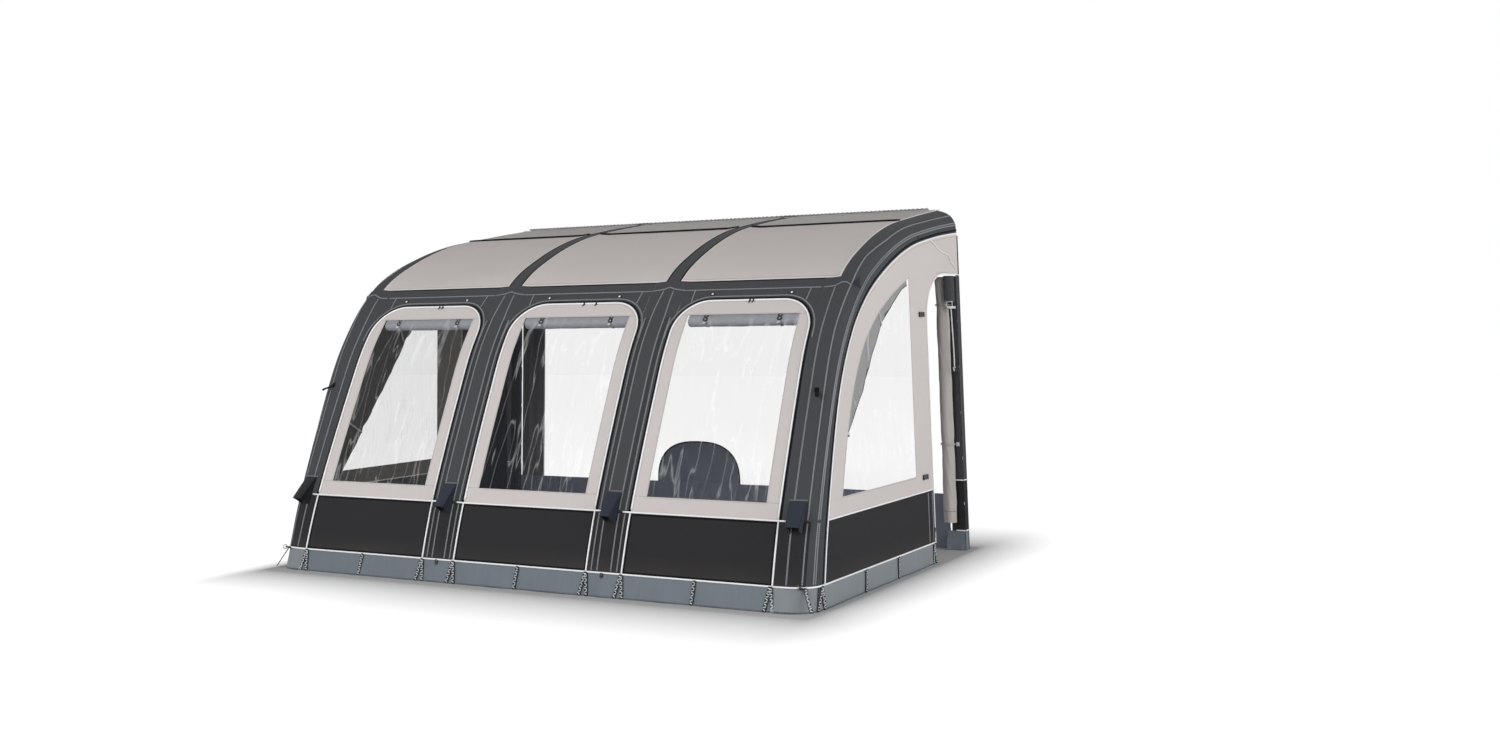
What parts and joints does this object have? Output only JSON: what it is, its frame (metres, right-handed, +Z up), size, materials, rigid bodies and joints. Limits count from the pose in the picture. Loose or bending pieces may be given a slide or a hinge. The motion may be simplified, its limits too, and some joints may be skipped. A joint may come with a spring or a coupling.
{
  "type": "caravan awning",
  "caption": "Inflatable porch awning for the side of a caravan, with clear windows, rolled blinds, side doors and a ground skirt.",
  "frame": {"origin": "on the ground under the middle of the awning's box", "axes": "+X along the caravan's side, +Y from the awning's front towards the caravan, +Z up"},
  "size_m": [3.874, 2.5, 2.3106],
  "materials": {
    "light_cloth": "matt coated polyester",
    "dark_cloth": "matt coated polyester",
    "black_cloth": "matt coated polyester",
    "clear_film": "clear flexible film",
    "blind_cloth": "light woven cloth",
    "skirt_film": "smooth flexible film",
    "beam_sleeve": "woven sleeve over an air tube",
    "navy_cloth": "woven cloth",
    "black_plastic": "moulded plastic",
    "white_bead": "moulded bead on tape"
  },
  "bodies": {
    "awning": {"air_beam_left_corner": "beam_sleeve", "air_beam_left_middle": "beam_sleeve", "air_beam_right_corner": "beam_sleeve", "air_beam_right_middle": "beam_sleeve", "beam_band_left": "dark_cloth", "beam_band_right": "dark_cloth", "corner_band_left": "dark_cloth", "corner_band_right": "dark_cloth", "cornice_left": "dark_cloth", "cornice_middle": "dark_cloth", "cornice_right": "dark_cloth", "door_roll_right": "blind_cloth", "draught_skirt": "skirt_film", "lower_panel_left": "black_cloth", "lower_panel_middle": "black_cloth", "lower_panel_right": "black_cloth", "mud_skirt_front": "skirt_film", "mud_skirt_left": "skirt_film", "mud_skirt_right": "skirt_film", "rail_beading": "white_bead", "rear_flap_left": "dark_cloth", "rear_pad_left": "dark_cloth", "rear_pad_right": "dark_cloth", "roof_left": "light_cloth", "roof_middle": "light_cloth", "roof_right": "light_cloth", "side_blind_left": "blind_cloth", "side_blind_right": "blind_cloth", "side_lower_panel_left": "black_cloth", "side_lower_panel_right": "black_cloth", "side_wall_left": "light_cloth", "side_wall_right": "light_cloth", "side_window_left": "clear_film", "side_window_right": "clear_film", "valve_left_corner": "black_plastic", "valve_left_middle": "black_plastic", "valve_right_corner": "black_plastic", "valve_right_middle": "black_plastic", "vent_hood_left_corner": "navy_cloth", "vent_hood_left_middle": "navy_cloth", "vent_hood_right_corner": "navy_cloth", "vent_hood_right_middle": "navy_cloth", "wheel_arch_cover": "skirt_film"},
    "window_panel_left": {"front_panel_left": "light_cloth", "front_window_left": "clear_film", "window_blind_left": "blind_cloth"},
    "window_panel_middle": {"front_panel_middle": "light_cloth", "front_window_middle": "clear_film", "window_blind_middle": "blind_cloth"},
    "window_panel_right": {"front_panel_right": "light_cloth", "front_window_right": "clear_film", "window_blind_right": "blind_cloth"},
    "door": {"door_left": "light_cloth"},
    "zip_pull_left": {"zip_slider_left": "black_plastic"},
    "zip_pull_right": {"zip_slider_right": "black_plastic"},
    "cap_left_corner": {"valve_cap_left_corner": "black_plastic"},
    "cap_left_middle": {"valve_cap_left_middle": "black_plastic"},
    "cap_right_corner": {"valve_cap_right_corner": "black_plastic"},
    "cap_right_middle": {"valve_cap_right_middle": "black_plastic"}
  },
  "joints": [
    {"name": "window_panel_left_fold", "type": "hinge", "parent": "awning", "child": "window_panel_left", "pos_m": [-1.21139, -1.10282, 0.475], "axis": [1, 0, 0], "range_deg": [0, 130]},
    {"name": "window_panel_middle_fold", "type": "hinge", "parent": "awning", "child": "window_panel_middle", "pos_m": [0, -1.10282, 0.475], "axis": [1, 0, 0], "range_deg": [0, 130]},
    {"name": "window_panel_right_fold", "type": "hinge", "parent": "awning", "child": "window_panel_right", "pos_m": [1.21139, -1.10282, 0.475], "axis": [1, 0, 0], "range_deg": [0, 130]},
    {"name": "door_left_swing", "type": "hinge", "parent": "awning", "child": "door", "pos_m": [-1.93652, 1.19, 0.015], "axis": [-0.032, 0, -0.9995], "range_deg": [0, 90]},
    {"name": "zip_slider_left_slide", "type": "slide", "parent": "awning", "child": "zip_pull_left", "axis": [0.032, 0, 0.9995], "range_m": [0, 1.32]},
    {"name": "zip_slider_right_slide", "type": "slide", "parent": "awning", "child": "zip_pull_right", "axis": [-0.032, 0, 0.9995], "range_m": [0, 1.32]},
    {"name": "valve_cap_left_corner_lift", "type": "hinge", "parent": "awning", "child": "cap_left_corner", "pos_m": [-1.80095, -0.97723, 0.37594], "axis": [0.8533, -0.4978, 0.1554], "range_deg": [0, 100]},
    {"name": "valve_cap_left_middle_lift", "type": "hinge", "parent": "awning", "child": "cap_left_middle", "pos_m": [-0.6095, -1.00128, 0.37444], "axis": [1, 0, 0], "range_deg": [0, 100]},
    {"name": "valve_cap_right_corner_lift", "type": "hinge", "parent": "awning", "child": "cap_right_corner", "pos_m": [1.80095, -0.97723, 0.37594], "axis": [0.8533, 0.4978, -0.1554], "range_deg": [0, 100]},
    {"name": "valve_cap_right_middle_lift", "type": "hinge", "parent": "awning", "child": "cap_right_middle", "pos_m": [0.6095, -1.00128, 0.37444], "axis": [1, 0, 0], "range_deg": [0, 100]}
  ]
}
